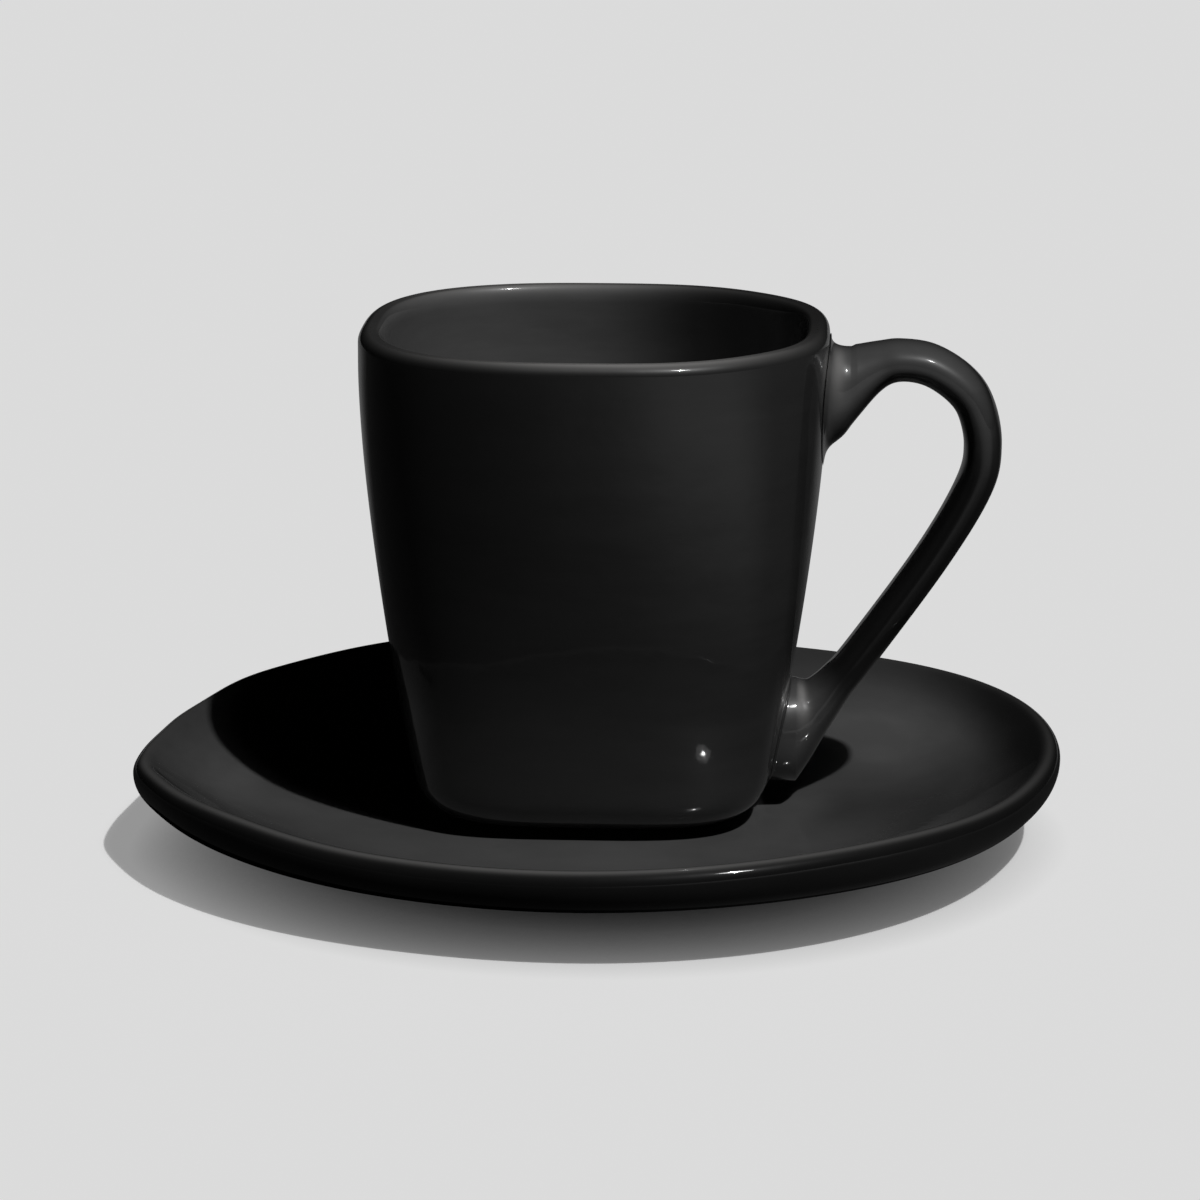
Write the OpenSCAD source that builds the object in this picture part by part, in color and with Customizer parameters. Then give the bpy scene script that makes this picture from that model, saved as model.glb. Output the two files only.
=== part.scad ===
// A square cup with a looped strap handle, standing on its softly squared saucer.
// Origin on the table under the middle of the saucer, +Z up, +X towards the handle,
// the front face of the cup towards -Y. All lengths are in millimetres.

/* [Cup] */
// Width of the cup across its flat sides, at the lip
cup_width = 81.5; // [76:0.5:88]
// Height of the cup from its foot to the crest of the lip
cup_height = 85.2; // [81:0.2:93]
// Width that the tapering wall would have if it ran on down to the level of the foot
toe_width = 59.6; // [58:0.2:63]
// How late the taper sets in: 1 is a straight wall, a larger value keeps the upper wall upright
taper_curve = 1.6; // [1.4:0.1:2]
// Height of the upright stretch of wall under the lip
upright_wall = 6; // [3:0.5:9]
// Thickness of the wall, rounded over at the lip
wall = 4.4; // [3.8:0.1:5.4]
// Thickness of the cup's floor
cup_floor = 5; // [4:0.25:6.5]
// Radius of the rounding between the wall and the bottom, outside
bottom_round = 8; // [6.5:0.5:9]
// Radius of the rounding between the wall and the floor, inside
inner_round = 8; // [5:0.5:10]
// Squareness of the cup in plan at its lip: 2 is round, a larger value is squarer
cup_square = 2.7; // [2.4:0.05:3.2]
// Squareness of the cup in plan at its foot
toe_square = 3.8; // [2.7:0.1:4.2]

/* [Cup foot] */
// Width of the cup's foot ring across its flat sides
cup_foot_width = 38; // [34:0.5:39]
// Height of the foot ring under the bottom of the cup
cup_foot_height = 1.2; // [0.9:0.1:1.6]
// Width of the flat that stands on the saucer
cup_foot_ring = 3; // [2.4:0.1:4]
// Depth of the recess inside the foot ring
cup_recess = 0.8; // [0.4:0.1:1]

/* [Handle] */
// How far the handle stands out from the lip
handle_reach = 29.8; // [26:0.2:34]
// How far the top of the handle's arch lies under the crest of the lip
arch_drop = 2.6; // [1.6:0.1:4]
// Thickness of the strap at the top of its arch
arch_thickness = 7.1; // [6.1:0.1:8.1]
// Thickness of the strap on its outer bend
bend_thickness = 6.6; // [5.6:0.1:7.6]
// Thickness of the strap on its straight run back to the wall
run_thickness = 6.2; // [5.2:0.1:7.2]
// Width of the strap
strap_width = 13; // [11:0.2:15]
// Width of the strap where it spreads onto the wall
root_width = 19; // [16:0.5:21]
// Height of the upper root on the wall
upper_root_height = 18.4; // [16:0.2:19]
// How far the middle of the upper root lies under the crest of the lip
upper_root_drop = 12.2; // [12:0.2:14]
// Height of the lower root on the wall
lower_root_height = 18; // [15:0.2:18.6]
// Height of the middle of the lower root above the cup's foot
lower_root_middle = 12.8; // [12.6:0.1:18]
// How far the blunt end of the lower root stands off the wall
root_end_depth = 2.9; // [2.4:0.1:3.6]

/* [Slip seams] */
// Thickness of the fired slip between a root and the wall
slip_seam = 0.5; // [0.3:0.1:0.9]
// How far the slip squeezes out around a root
slip_bead = 0.7; // [0.4:0.1:1.2]

/* [Saucer] */
// Width of the saucer across its sides
saucer_width = 160; // [152:1:172]
// Height of the lip's crest above the table, at the middle of a side
saucer_height = 16.6; // [15:0.2:19]
// How much higher the lip rises at the four soft corners
corner_lift = 1.1; // [0:0.1:3]
// Squareness of the saucer in plan: 2 is round, a larger value is squarer
saucer_square = 2.18; // [2:0.02:2.6]
// Radius of the rounded crest of the lip
saucer_lip = 2.3; // [1.8:0.1:2.6]
// Radius of the rounding under the lip
belly_round = 5.4; // [4.4:0.2:6.4]
// Slope of the inside just under the lip, in degrees
lip_slope = 36; // [28:1:42]
// Slope of the underside where it meets the rounding under the lip, in degrees
belly_slope = 16; // [12:1:20]
// Height of the flat seat in the middle, above the table
seat_height = 7; // [6.2:0.1:8]
// Width of the flat seat that the cup stands on
seat_width = 72; // [60:1:80]
// Width of the saucer's foot ring
saucer_foot_width = 90; // [80:1:100]
// Width of the flat that stands on the table
saucer_foot_ring = 4; // [3:0.25:6]
// Height of the foot ring under the saucer
saucer_foot_height = 2.8; // [2:0.1:3.4]
// Depth of the recess inside the saucer's foot ring
saucer_recess = 2.2; // [1.4:0.1:2.8]

/* [Placing] */
// How far the cup stands off the saucer's middle, away from the handle
cup_offset = 1; // [0:0.1:4]
// How far the saucer is turned against the cup, in degrees
saucer_turn = -18; // [-45:1:45]

/* [Hidden] */
// Clearance kept between the fired seams and the pieces that they join
seam_clearance = 0.08;
// Segments around the cup and the saucer
around = 64;
// Segments around the strap
strap_around = 26;
// Rings between two stations of the handle
strap_steps = 3;
// Rings from the middle of a root's face to its edge
face_steps = 7;
// Segments of a rounded edge and of a long wall
edge_steps = 7;
wall_steps = 9;
// Squareness of the strap's section
strap_square = 2.3;
// Slope of the flanks of a foot ring, as run over rise
foot_flank = 0.5;

cup_half = cup_width / 2;
lip_round = wall / 2;
taper_height = cup_height - upright_wall;
cup_bottom = cup_foot_height;
cup_inside_floor = cup_foot_height + cup_floor;
saucer_half = saucer_width / 2;
saucer_foot_half = saucer_foot_width / 2;
cup_glaze = "#1a1a1c";
saucer_glaze = "#222224";
seam_glaze = "#141416";

// Distance from the middle to a soft square of half width 1, in the direction of an angle
function soft_reach(square, angle) =
    1 / pow(pow(abs(cos(angle)), square) + pow(abs(sin(angle)), square), 1 / square);

// Ring of a soft square, lifted towards its corners
function soft_ring(half, height, square, lift = 0) =
    [for (i = [0 : around - 1])
        let (angle = 360 * i / around,
             reach = half * soft_reach(square, angle),
             rise = lift * (1 - cos(4 * angle)) / 2)
        [reach * cos(angle), reach * sin(angle), height + rise]];

// Points of an arc in a profile, both ends included
function arc(x, z, radius, from, to) =
    [for (i = [0 : edge_steps])
        let (angle = from + (to - from) * i / edge_steps)
        [x + radius * cos(angle), z + radius * sin(angle)]];

// Triangles that close a ring in strips across it, from its first point to the one opposite
function cap(count) =
    let (half = count / 2)
    concat(
        [[0, 1, count - 1], [half - 1, half, half + 1]],
        [for (k = [1 : half - 2])
            each [[k, k + 1, count - k - 1], [k, count - k - 1, count - k]]]);

// Closed solid through rings of equal length, from the first to the last
module loft(rings) {
    count = len(rings[0]);
    last = len(rings) - 1;
    top = last * count;
    sides = [for (i = [0 : last - 1], j = [0 : count - 1])
        let (a = i * count, b = a + count, k = (j + 1) % count)
        each [[a + j, b + j, b + k], [a + j, b + k, a + k]]];
    end = [for (t = cap(count)) [top + t[2], top + t[1], top + t[0]]];
    polyhedron([for (ring = rings) each ring], concat(cap(count), sides, end));
}

// Half width of the cup's tapered wall at a height above its foot, without the roundings
function taper_half(h) =
    let (share = max(0, 1 - h / taper_height))
    cup_half - (cup_half - toe_width / 2) * pow(share, taper_curve);

// Lean of the tapered wall from upright at a height, in degrees
function taper_lean(h) = atan(taper_half(h + 0.5) - taper_half(h - 0.5));

// Squareness of the cup in plan at a height above its foot
function square_at(h) =
    cup_square + (toe_square - cup_square) * pow(max(0, 1 - h / cup_height), 2);

// Start and centre of the rounding between a wall and the bottom under it
bottom_lean = taper_lean(cup_bottom + bottom_round);
bottom_start = cup_bottom + bottom_round * (1 - sin(bottom_lean));
bottom_x = taper_half(bottom_start) - bottom_round * cos(bottom_lean);
bottom_z = cup_bottom + bottom_round;
inner_lean = taper_lean(cup_inside_floor + inner_round);
inner_start = cup_inside_floor + inner_round * (1 - sin(inner_lean));
inner_x = taper_half(inner_start) - wall - inner_round * cos(inner_lean);
inner_z = cup_inside_floor + inner_round;

// Half width of the outside of the cup at a height, with the bottom rounding, or of a face held off it
function outside_half(h, off = 0) =
    let (below = bottom_z - max(h, cup_bottom))
    h >= bottom_start ? taper_half(h) + off
        : bottom_x + sqrt(max(0, pow(bottom_round + off, 2) - pow(below, 2)));

// Heights along a wall, from one end to the other, without the ends
function wall_heights(from, to) =
    [for (i = [1 : wall_steps - 1]) from + (to - from) * i / wall_steps];

// Profile of the cup from under its floor, up the outside, over the lip and down the inside
function cup_profile() =
    let (foot = cup_foot_width / 2,
         lip_z = cup_height - lip_round,
         lip_x = cup_half - lip_round,
         recess_in = foot - cup_foot_ring - cup_recess * foot_flank)
    concat(
        [[recess_in, cup_recess], [foot - cup_foot_ring, 0], [foot, 0]],
        [[foot + cup_foot_height * foot_flank, cup_bottom]],
        arc(bottom_x, bottom_z, bottom_round, -90, -bottom_lean),
        [for (h = wall_heights(bottom_start, lip_z)) [taper_half(h), h]],
        arc(lip_x, lip_z, lip_round, 0, 180),
        [for (h = wall_heights(lip_z, inner_start)) [taper_half(h) - wall, h]],
        arc(inner_x, inner_z, inner_round, -inner_lean, -90));

// Height of the saucer's inside at a half width, from the seat to the lip's crest
lip_x = saucer_half - saucer_lip;
lip_z = saucer_height - saucer_lip;
rise_x = lip_x - saucer_lip * sin(lip_slope);
rise_z = lip_z + saucer_lip * cos(lip_slope);
rise_run = rise_x - seat_width / 2;
rise_curve = tan(lip_slope) * rise_run / (rise_z - seat_height);
function inside_height(x) =
    seat_height + (rise_z - seat_height) * pow((x - seat_width / 2) / rise_run, rise_curve);

// Height of the saucer's underside at a half width, from the foot ring to the belly rounding
flank_x = saucer_foot_half + saucer_foot_height * foot_flank;
belly_x = saucer_half - belly_round * (1 - sin(belly_slope));
belly_z = lip_z - belly_round * cos(belly_slope);
belly_run = belly_x - flank_x;
belly_curve = tan(belly_slope) * belly_run / (belly_z - saucer_foot_height);
function underside_height(x) =
    saucer_foot_height + (belly_z - saucer_foot_height) * pow((x - flank_x) / belly_run, belly_curve);

// Profile of the saucer from under its middle, out to the lip and in to the seat
function saucer_profile() =
    let (ring_in = saucer_foot_half - saucer_foot_ring)
    concat(
        [[ring_in - saucer_recess * foot_flank, saucer_recess], [ring_in, 0], [saucer_foot_half, 0]],
        [for (i = [0 : wall_steps - 1])
            let (x = flank_x + belly_run * i / wall_steps)
            [x, underside_height(x)]],
        arc(saucer_half - belly_round, lip_z, belly_round, belly_slope - 90, 0),
        arc(lip_x, lip_z, saucer_lip, 180 / (2 * edge_steps), 90 + lip_slope),
        [for (i = [wall_steps - 1 : -1 : 0])
            let (x = seat_width / 2 + rise_run * i / wall_steps)
            [x, inside_height(x)]]);

// Share of the corner lift that the saucer has at a half width
function lift_share(x) = pow(max(0, (x - seat_width / 2) / (saucer_half - seat_width / 2)), 2);

// Place on the cup's outside, or held off it, at a distance across its side and a height
function on_wall(y, h, off) =
    let (half = outside_half(h, off), square = square_at(h))
    [half * pow(1 - pow(abs(y) / half, square), 1 / square), y, h];

// Stations of the strap: distance from the cup's axis, height above the foot, direction of the
// strap's outer face in degrees, thickness and width
upper_root = cup_height - upper_root_drop;
arch_top = cup_height - arch_drop - arch_thickness / 2;
bend_x = cup_half + handle_reach - bend_thickness / 2;
strap_rise = arch_top - lower_root_middle;
strap_reach = bend_x - cup_half;
lower_wall = outside_half(lower_root_middle);
function out(share) = cup_half + strap_reach * share;
function up(share) = lower_root_middle + strap_rise * share;
function root_out(share) = lower_wall + root_end_depth * share;
function root_up(share) = lower_root_middle + lower_root_height * share;
function strap_stations() = [
    [outside_half(upper_root), upper_root, 90, upper_root_height, root_width],
    [out(0.075), upper_root + 0.25, 90, upper_root_height * 0.87, root_width * 0.91],
    [out(0.17), upper_root * 0.62 + arch_top * 0.38, 92, arch_thickness * 1.76, strap_width * 1.15],
    [out(0.32), upper_root * 0.17 + arch_top * 0.83, 94, arch_thickness * 1.18, strap_width],
    [out(0.455), arch_top, 89, arch_thickness, strap_width],
    [out(0.65), up(0.988), 75, arch_thickness, strap_width],
    [out(0.84), up(0.94), 54, arch_thickness, strap_width],
    [out(0.95), up(0.878), 30, bend_thickness * 1.04, strap_width],
    [out(1), up(0.777), 1, bend_thickness, strap_width],
    [out(0.945), up(0.666), -20, bend_thickness, strap_width],
    [out(0.68), up(0.476), -34, run_thickness, strap_width],
    [out(0.22), up(0.213), -35, run_thickness, strap_width],
    [root_out(3.4), root_up(0.485), -47, run_thickness * 1.08, strap_width],
    [root_out(2.28), root_up(0.248), -68, lower_root_height * 0.523, root_width * 0.77],
    [root_out(1.62), root_up(0.119), -80, lower_root_height * 0.744, root_width * 0.87],
    [root_out(1), root_up(0), -90, lower_root_height, root_width * 0.95],
    [root_out(0), root_up(0), -90, lower_root_height, root_width],
];

// Value between two rows of a table, on a smooth curve through its rows
function between(rows, i, t) =
    let (a = rows[max(i - 1, 0)], b = rows[i], c = rows[i + 1], d = rows[min(i + 2, len(rows) - 1)])
    (2 * b + (c - a) * t + (2 * a - 5 * b + 4 * c - d) * t * t + (3 * b - a - 3 * c + d) * t * t * t) / 2;

// Offset of a point around the strap's section, as thickness and width
function around_strap(i, thickness, width) =
    let (angle = -360 * i / strap_around, reach = soft_reach(strap_square, angle))
    [reach * cos(angle) * thickness / 2, reach * sin(angle) * width / 2];

// Ring of the strap at a row of its table
function strap_ring(row) =
    [for (i = [0 : strap_around - 1])
        let (p = around_strap(i, row[3], row[4]))
        [row[0] + p[0] * cos(row[2]), p[1], row[1] + p[0] * sin(row[2])]];

// Ring of a root on the cup's outside, grown by an edge, held off the wall and drawn to its middle
function root_ring(row, grow, off, share = 1) =
    [for (i = [0 : strap_around - 1])
        let (p = share * around_strap(i, row[3] + 2 * grow, row[4] + 2 * grow))
        on_wall(p[1], row[1] + p[0] * sin(row[2]), off)];

// Rings of a root's face, which follows the wall, from the middle to the edge
function root_face(row, grow, off) =
    [for (k = [1 : face_steps]) root_ring(row, grow, off, sin(90 * k / face_steps))];

// Rings in the opposite order
function backwards(rings) = [for (i = [len(rings) - 1 : -1 : 0]) rings[i]];

// Moves a piece of the cup to its place on the saucer's seat
module on_seat() {
    translate([-cup_offset, 0, seat_height]) children();
}

module saucer() {
    color(saucer_glaze)
        rotate([0, 0, saucer_turn])
            loft([for (p = saucer_profile())
                soft_ring(p[0], p[1], saucer_square, corner_lift * lift_share(p[0]))]);
}

module cup_body() {
    color(cup_glaze)
        on_seat()
            loft([for (p = cup_profile()) soft_ring(p[0], p[1], square_at(p[1]))]);
}

module handle() {
    rows = strap_stations();
    last = len(rows) - 1;
    off = slip_seam + 2 * seam_clearance;
    color(cup_glaze)
        on_seat()
            loft(concat(
                root_face(rows[0], 0, off),
                [for (i = [1 : last - 2], k = [0 : strap_steps - 1])
                    strap_ring(between(rows, i, k / strap_steps))],
                [strap_ring(rows[last - 1])],
                backwards(root_face(rows[last], 0, off))));
}

// Layer of fired slip between a root and the wall, squeezed out to a small bead around it
module slip_layer(middle, height) {
    row = [0, middle, 90, height, root_width];
    color(seam_glaze)
        on_seat()
            loft(concat(
                root_face(row, slip_bead, seam_clearance),
                [root_ring(row, slip_bead * 0.8, seam_clearance + slip_seam * 0.6)],
                backwards(root_face(row, 0, seam_clearance + slip_seam))));
}

module upper_slip_seam() {
    slip_layer(upper_root, upper_root_height);
}

module lower_slip_seam() {
    slip_layer(lower_root_middle, lower_root_height);
}

saucer();
cup_body();
handle();
upper_slip_seam();
lower_slip_seam();
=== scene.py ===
"""Square cup with a looped strap handle on its softly squared saucer, in black glaze."""

import math

import bpy
from mathutils import Matrix, Vector, noise


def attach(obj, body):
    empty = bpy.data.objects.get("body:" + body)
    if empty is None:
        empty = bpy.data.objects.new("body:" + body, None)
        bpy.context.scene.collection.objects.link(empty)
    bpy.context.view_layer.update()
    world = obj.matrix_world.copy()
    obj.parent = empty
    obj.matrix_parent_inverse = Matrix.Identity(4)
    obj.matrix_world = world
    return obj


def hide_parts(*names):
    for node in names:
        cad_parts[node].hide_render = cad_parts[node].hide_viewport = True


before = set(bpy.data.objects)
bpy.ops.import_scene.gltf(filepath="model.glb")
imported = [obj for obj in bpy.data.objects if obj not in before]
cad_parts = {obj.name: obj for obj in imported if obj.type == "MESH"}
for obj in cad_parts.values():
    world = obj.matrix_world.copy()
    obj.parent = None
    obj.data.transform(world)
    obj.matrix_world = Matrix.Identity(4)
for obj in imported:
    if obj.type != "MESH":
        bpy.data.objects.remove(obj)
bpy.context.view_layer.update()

MM = 0.001
HALF_PI = math.pi / 2

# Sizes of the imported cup, in millimetres, with heights above its own foot
CUP_HALF = 40.75
CUP_HEIGHT = 85.2
TOE_HALF = 29.8
TAPER_CURVE = 1.6
TAPER_HEIGHT = 79.2
WALL = 4.4
LIP_OUT = 1.9
LIP_FLAT = 1.2
LIP_IN = WALL - LIP_OUT - LIP_FLAT
LIP_DEPTH = 3.2
CUP_BOTTOM = 1.2
CUP_FLOOR = 6.2
BOTTOM_ROUND = 8.0
INNER_ROUND = 8.0
CUP_SQUARE = 2.7
TOE_SQUARE = 3.8
CUP_FOOT = 19.0
CUP_FOOT_RING = 3.0
CUP_RECESS = 0.8
FOOT_FLANK = 0.5
CUP_OFFSET = 1.0

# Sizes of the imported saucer, in millimetres, with its slopes and its turn in radians
SAUCER_HALF = 80.0
SAUCER_HEIGHT = 16.6
CORNER_LIFT = 1.1
SAUCER_SQUARE = 2.18
SAUCER_LIP = 2.3
BELLY_ROUND = 5.4
LIP_SLOPE = math.radians(36)
BELLY_SLOPE = math.radians(16)
SEAT_HEIGHT = 7.0
SEAT_HALF = 36.0
SAUCER_FOOT = 45.0
SAUCER_FOOT_RING = 4.0
SAUCER_FOOT_HEIGHT = 2.8
SAUCER_RECESS = 2.2
SAUCER_TURN = math.radians(-18)

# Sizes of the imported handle, in millimetres, with heights above the cup's foot
STRAP_SQUARE = 2.3
STRAP_WIDTH = 13.0
ARCH_THICKNESS = 7.1
BEND_THICKNESS = 6.6
RUN_THICKNESS = 6.2
BEND_X = 67.25
ARCH_TOP = 79.05
ROOT_WIDTH = 19.0
ROOT_END = 2.9
UPPER_ROOT = 73.0
UPPER_ROOT_HEIGHT = 18.4
LOWER_ROOT = 12.8
LOWER_ROOT_HEIGHT = 18.0

# Small forms that only the visual meshes have, in millimetres
CUP_RECESS_FILLET = 1.2
CUP_FOOT_FILLET = 0.6
CUP_FLANK_FILLET = 1.0
SAUCER_RECESS_FILLET = 1.6
SAUCER_FOOT_FILLET = 0.8
SAUCER_FLANK_FILLET = 1.6
SAUCER_FLANK_RUN = 4.0
LIP_FALL = 0.03
ROOT_EDGE_RISE = 0.66
ROOT_EDGE_SINK = 0.15
ROOT_EDGE_GROWTH = 0.5
ROOT_POLE_SINK = 0.2
BEAD_GROWTH = 1.2
UPPER_BEAD_RISE = 0.16
LOWER_BEAD_RISE = 0.3

# Fineness of the visual meshes
CUP_AROUND = 288
SAUCER_AROUND = 384
STRAP_AROUND = 72
STRAP_STEPS = 9
FLARE_STEPS = 3
ROOT_EDGE_STEPS = 7
BEAD_SIDES = 12

# Marks of the hand, and painted highlights on the lips: direction round the piece and reach in degrees,
# then millimetres or a share
SAUCER_BULGES = [(166, 9, 1.3), (212, 7, 0.95), (194, 7, -0.55)]
SAUCER_LIP_RISES = [(328, 22, 0.7), (240, 13, 0.7)]
# Painted highlights on the saucer's lip and the cup's rim, as extra thin glaze by direction
SAUCER_LIP_PAINTED_HIGHLIGHT = [(290, 50, 0.16)]
CUP_RIM_PAINTED_HIGHLIGHTS = [(108, 34, 0.36), (282, 38, 0.8)]
CUP_WORN_CORNERS = [(47, 15, 0.024), (314, 17, 0.03)]
# Thin glaze all round the lips, as a share
SAUCER_LEAST_THIN_GLAZE = 0.07
CUP_LEAST_THIN_GLAZE = 0.04

# Thin glaze and painted highlight on the lips: direction round the lip and reach, in degrees
SAUCER_THIN_AND_HIGHLIGHT_TURN = 78
SAUCER_THIN_AND_HIGHLIGHT_REACH = 20
CUP_THIN_AND_HIGHLIGHT_TURN = 95
CUP_THIN_AND_HIGHLIGHT_REACH = 42

# Slow unevenness of the walls: share of the half width, length in millimetres and place in the noise
SAUCER_UNEVEN = 0.004
SAUCER_UNEVEN_LENGTH = 45
SAUCER_UNEVEN_SEED = 3
CUP_UNEVEN = 0.006
CUP_UNEVEN_LENGTH = 30
CUP_UNEVEN_SEED = 8

# Crease inside one corner of the saucer, which runs inwards along the lip: degrees, then millimetres
CREASE_START = 212.5
CREASE_TURN = 17
CREASE_X = 76.3
CREASE_RUN = 2.7
CREASE_WIDTH = 0.75
CREASE_DEPTH = 0.5
# Painted shade in the crease, as a share taken off the lining
CREASE_PAINTED_SHADE = 0.95

# Heights below which the feet are bare clay, in millimetres
CUP_BARE_BELOW = 0.2
SAUCER_BARE_BELOW = 0.25


def power(base, exponent):
    """Power of a number's size, whatever its sign."""
    return math.pow(abs(base), exponent)


def smooth(value, start, end):
    """Share between 0 and 1 that rises smoothly from start to end."""
    t = min(1.0, max(0.0, (value - start) / (end - start)))
    return t * t * (3 - 2 * t)


def hump(value, middle, reach):
    """Share that is 1 at the middle and falls off smoothly on both sides."""
    return math.exp(-(((value - middle) / reach) ** 2))


def off_turn(turn, middle):
    """Degrees between two directions round a piece."""
    return abs((turn - middle + 180) % 360 - 180)


def near(turn, middle, reach):
    """Share that is 1 in one direction round a piece and falls off over some degrees."""
    return hump(off_turn(turn, middle), 0, reach)


def marks(turn, places):
    """Sum of the marks of the hand, or of the painted highlights, in one direction round a piece."""
    return sum(size * near(turn, middle, reach) for middle, reach, size in places)


def unevenness(p, length, seed):
    """Smooth unevenness between 0 and 1, over a length in millimetres."""
    at = Vector(p) / length + Vector((seed, seed * 1.7, seed * 0.6))
    return 0.5 + 0.5 * noise.noise(at)


def soft_reach(square, angle):
    """Distance from the middle to a soft square of half width 1, in the direction of an angle."""
    return 1 / math.pow(
        power(math.cos(angle), square) + power(math.sin(angle), square), 1 / square
    )


def turn_round(x, z, middle_x, middle_z):
    """Direction of a profile point from the middle of a rounding, in degrees from straight out."""
    return math.degrees(math.atan2(z - middle_z, x - middle_x))


def spread(start, end, steps):
    """Even steps from start to end, without these two."""
    return [start + (end - start) * i / steps for i in range(1, steps)]


def line(start, end, steps):
    """Points of a straight stretch in a profile, without its ends."""
    return list(zip(spread(start[0], end[0], steps), spread(start[1], end[1], steps)))


def arc(x, z, radius, start, end, steps):
    """Points of an arc in a profile, both ends included."""
    angles = [start + (end - start) * i / steps for i in range(steps + 1)]
    return [(x + radius * math.cos(a), z + radius * math.sin(a)) for a in angles]


def filleted(corners, steps=5):
    """Points along a chain of corners (x, z, radius), each corner rounded by its radius."""
    edge_share = 0.45
    points = []
    for i, (x, z, radius) in enumerate(corners):
        if radius == 0 or i in (0, len(corners) - 1):
            points.append((x, z))
            continue
        here = Vector((x, z))
        back = Vector(corners[i - 1][:2]) - here
        ahead = Vector(corners[i + 1][:2]) - here
        half = back.angle(ahead) / 2
        reach = min(radius / math.tan(half), edge_share * back.length, edge_share * ahead.length)
        start = here + back.normalized() * reach
        end = here + ahead.normalized() * reach
        for k in range(steps + 1):
            t = k / steps
            p = start * (1 - t) ** 2 + here * (2 * t * (1 - t)) + end * t**2
            points.append((p.x, p.y))
    return points


def taper_half(h):
    """Half width of the cup's tapered wall at a height above its foot."""
    share = max(0.0, 1 - h / TAPER_HEIGHT)
    return CUP_HALF - (CUP_HALF - TOE_HALF) * math.pow(share, TAPER_CURVE)


def taper_lean(h):
    """Angle between the tapered wall and the upright, at a height."""
    return math.atan(taper_half(h + 0.5) - taper_half(h - 0.5))


BOTTOM_LEAN = taper_lean(CUP_BOTTOM + BOTTOM_ROUND)
BOTTOM_START = CUP_BOTTOM + BOTTOM_ROUND * (1 - math.sin(BOTTOM_LEAN))
BOTTOM_X = taper_half(BOTTOM_START) - BOTTOM_ROUND * math.cos(BOTTOM_LEAN)
BOTTOM_Z = CUP_BOTTOM + BOTTOM_ROUND
INNER_LEAN = taper_lean(CUP_FLOOR + INNER_ROUND)
INNER_START = CUP_FLOOR + INNER_ROUND * (1 - math.sin(INNER_LEAN))
INNER_X = taper_half(INNER_START) - WALL - INNER_ROUND * math.cos(INNER_LEAN)
INNER_Z = CUP_FLOOR + INNER_ROUND
CUP_LIP_X = CUP_HALF - LIP_OUT
CUP_LIP_INNER_X = CUP_LIP_X - LIP_FLAT
CUP_LIP_OUTER_Z = CUP_HEIGHT - LIP_OUT
CUP_LIP_INNER_Z = CUP_HEIGHT - LIP_DEPTH


def square_at(h):
    """Squareness of the cup in plan at a height above its foot."""
    return CUP_SQUARE + (TOE_SQUARE - CUP_SQUARE) * max(0.0, 1 - h / CUP_HEIGHT) ** 2


def outside_half(h, off=0.0):
    """Half width of the cup's outside at a height, or of a face held off it."""
    if h >= BOTTOM_START:
        return taper_half(h) + off
    below = BOTTOM_Z - max(h, CUP_BOTTOM)
    return BOTTOM_X + math.sqrt(max(0.0, (BOTTOM_ROUND + off) ** 2 - below**2))


def on_wall(y, h, off):
    """Place on the cup's outside, at a distance across its side and a height."""
    half, square = outside_half(h, off), square_at(h)
    return (half * math.pow(1 - power(y / half, square), 1 / square), y, h)


def cup_profile():
    """Profile of the cup from under its middle, up the outside, over the lip and in to its floor."""
    ring_in = CUP_FOOT - CUP_FOOT_RING
    under = filleted(
        [
            (0, CUP_RECESS, 0),
            (ring_in - CUP_RECESS * FOOT_FLANK, CUP_RECESS, CUP_RECESS_FILLET),
            (ring_in, 0, CUP_FOOT_FILLET),
            (CUP_FOOT, 0, CUP_FOOT_FILLET),
            (CUP_FOOT + CUP_BOTTOM * FOOT_FLANK, CUP_BOTTOM, CUP_FLANK_FILLET),
            (BOTTOM_X, CUP_BOTTOM, 0),
        ]
    )
    lip_top = (CUP_LIP_X, CUP_HEIGHT)
    lip_inner = (CUP_LIP_INNER_X, CUP_HEIGHT - LIP_FALL)
    quarter = arc(0, 0, 1, HALF_PI, math.pi, steps=16)
    lip_in_depth = LIP_DEPTH - LIP_FALL
    return (
        line((0, CUP_RECESS), under[1], steps=5)
        + under[1:-1]
        + arc(BOTTOM_X, BOTTOM_Z, BOTTOM_ROUND, -HALF_PI, -BOTTOM_LEAN, steps=14)
        + [(taper_half(h), h) for h in spread(BOTTOM_START, CUP_LIP_OUTER_Z, steps=48)]
        + arc(CUP_LIP_X, CUP_LIP_OUTER_Z, LIP_OUT, 0, HALF_PI, steps=12)
        + line(lip_top, lip_inner, steps=4)
        + [(CUP_LIP_INNER_X + LIP_IN * x, CUP_LIP_INNER_Z + lip_in_depth * z) for x, z in quarter]
        + [(taper_half(h) - WALL, h) for h in spread(CUP_LIP_INNER_Z, INNER_START, steps=40)]
        + arc(INNER_X, INNER_Z, INNER_ROUND, -INNER_LEAN, -HALF_PI, steps=14)
        + line((INNER_X, CUP_FLOOR), (0, CUP_FLOOR), steps=8)
    )


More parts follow.
